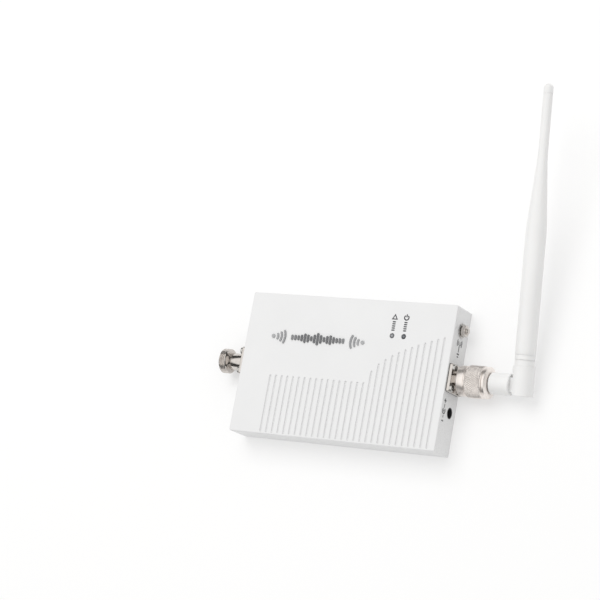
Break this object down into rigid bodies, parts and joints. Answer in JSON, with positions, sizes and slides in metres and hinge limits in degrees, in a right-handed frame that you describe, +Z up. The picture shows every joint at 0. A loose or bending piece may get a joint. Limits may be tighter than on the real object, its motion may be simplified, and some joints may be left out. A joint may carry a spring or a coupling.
{
  "type": "cellular signal booster",
  "caption": "White ribbed metal signal booster unit with N ports on both short sides and a tilting, swivelling whip antenna screwed onto the indoor port.",
  "frame": {"origin": "centre of the base plate's flat underside, on the surface the unit lies on", "axes": "+Z up through the ribbed face, +X from the outdoor port to the indoor port, +Y the way the whip stands at rest"},
  "size_m": [0.2184, 0.2267, 0.0444],
  "materials": {
    "case_paint": "satin white powder coat, smooth on the face",
    "plate_paint": "satin white powder coat",
    "nickel": "bright nickel plating with a warm tint",
    "emblem_chrome": "polished smoky chrome, darkest in the middle",
    "steel_screw": "zinc-plated steel",
    "brass": "gold-plated brass",
    "white_plastic": "white moulded plastic",
    "black_plastic": "black moulded plastic",
    "ptfe": "natural PTFE",
    "rubber": "silicone seal",
    "alarm_lens": "grey clear-tinted lamp lens",
    "power_lens": "dark tinted lamp lens",
    "board": "green solder mask",
    "aluminium": "plain aluminium",
    "tinned_sheet": "tinned sheet",
    "ceramic": "ceramic duplexer block",
    "coil_ferrite": "ferrite"
  },
  "bodies": {
    "unit": {"housing": "case_paint", "base_plate": "plate_paint", "base_screws": "steel_screw", "emblem": "emblem_chrome", "alarm_lamp": "alarm_lens", "power_lamp": "power_lens", "lamp_spacers": "black_plastic", "lamp_leads": "tinned_sheet", "ground_screw": "nickel", "ground_washer": "steel_screw", "ground_nut": "nickel", "inlet_body": "black_plastic", "inlet_pin": "nickel", "inlet_spring": "tinned_sheet", "main_board": "board", "board_standoffs": "brass", "board_screws": "steel_screw", "outdoor_duplexer": "ceramic", "indoor_duplexer": "ceramic", "uplink_shield": "tinned_sheet", "downlink_shield": "tinned_sheet", "control_chip": "black_plastic", "regulator": "black_plastic", "amplifier_chips": "black_plastic", "thermal_pad": "rubber", "heat_block": "aluminium", "capacitors": "aluminium", "coils": "coil_ferrite", "outdoor_jack": "nickel", "outdoor_gasket": "rubber", "outdoor_dielectric": "ptfe", "outdoor_contact": "brass", "outdoor_flange_screws": "steel_screw", "outdoor_strap": "tinned_sheet", "indoor_jack": "nickel", "indoor_gasket": "rubber", "indoor_dielectric": "ptfe", "indoor_contact": "brass", "indoor_flange_screws": "steel_screw", "indoor_strap": "tinned_sheet"},
    "nut": {"coupling_nut": "nickel"},
    "plug": {"plug_shell": "nickel", "rear_collar": "nickel", "plug_seal": "rubber", "plug_dielectric": "ptfe", "plug_pin": "brass", "swivel_circlip": "steel_screw"},
    "swivel": {"swivel_sleeve": "white_plastic", "feed_coax": "black_plastic"},
    "whip": {"knuckle": "white_plastic", "hinge_pin": "nickel", "friction_washers": "steel_screw", "whip_tube": "white_plastic", "tip_cap": "white_plastic", "choke_sleeve": "brass", "whip_coax": "black_plastic", "radiator": "brass"}
  },
  "joints": [
    {"name": "antenna_travel", "type": "slide", "parent": "unit", "child": "plug", "axis": [1, 0, 0], "range_m": [0, 0.0053]},
    {"name": "nut_turn", "type": "hinge", "parent": "plug", "child": "nut", "pos_m": [0.087, 0.0008, 0.0102], "axis": [1, 0, 0], "range_deg": [0, 1800]},
    {"name": "antenna_swivel", "type": "hinge", "parent": "plug", "child": "swivel", "pos_m": [0.106, 0.0008, 0.0102], "axis": [1, 0, 0], "range_deg": [-180, 180]},
    {"name": "whip_tilt", "type": "hinge", "parent": "swivel", "child": "whip", "pos_m": [0.1191, 0.0008, 0.0102], "axis": [0, -0.1736, 0.9848], "range_deg": [-90, 0]}
  ],
  "couplings": [
    {"joint": "antenna_travel", "follows": "nut_turn", "m_per_rad": 0.00016844}
  ]
}
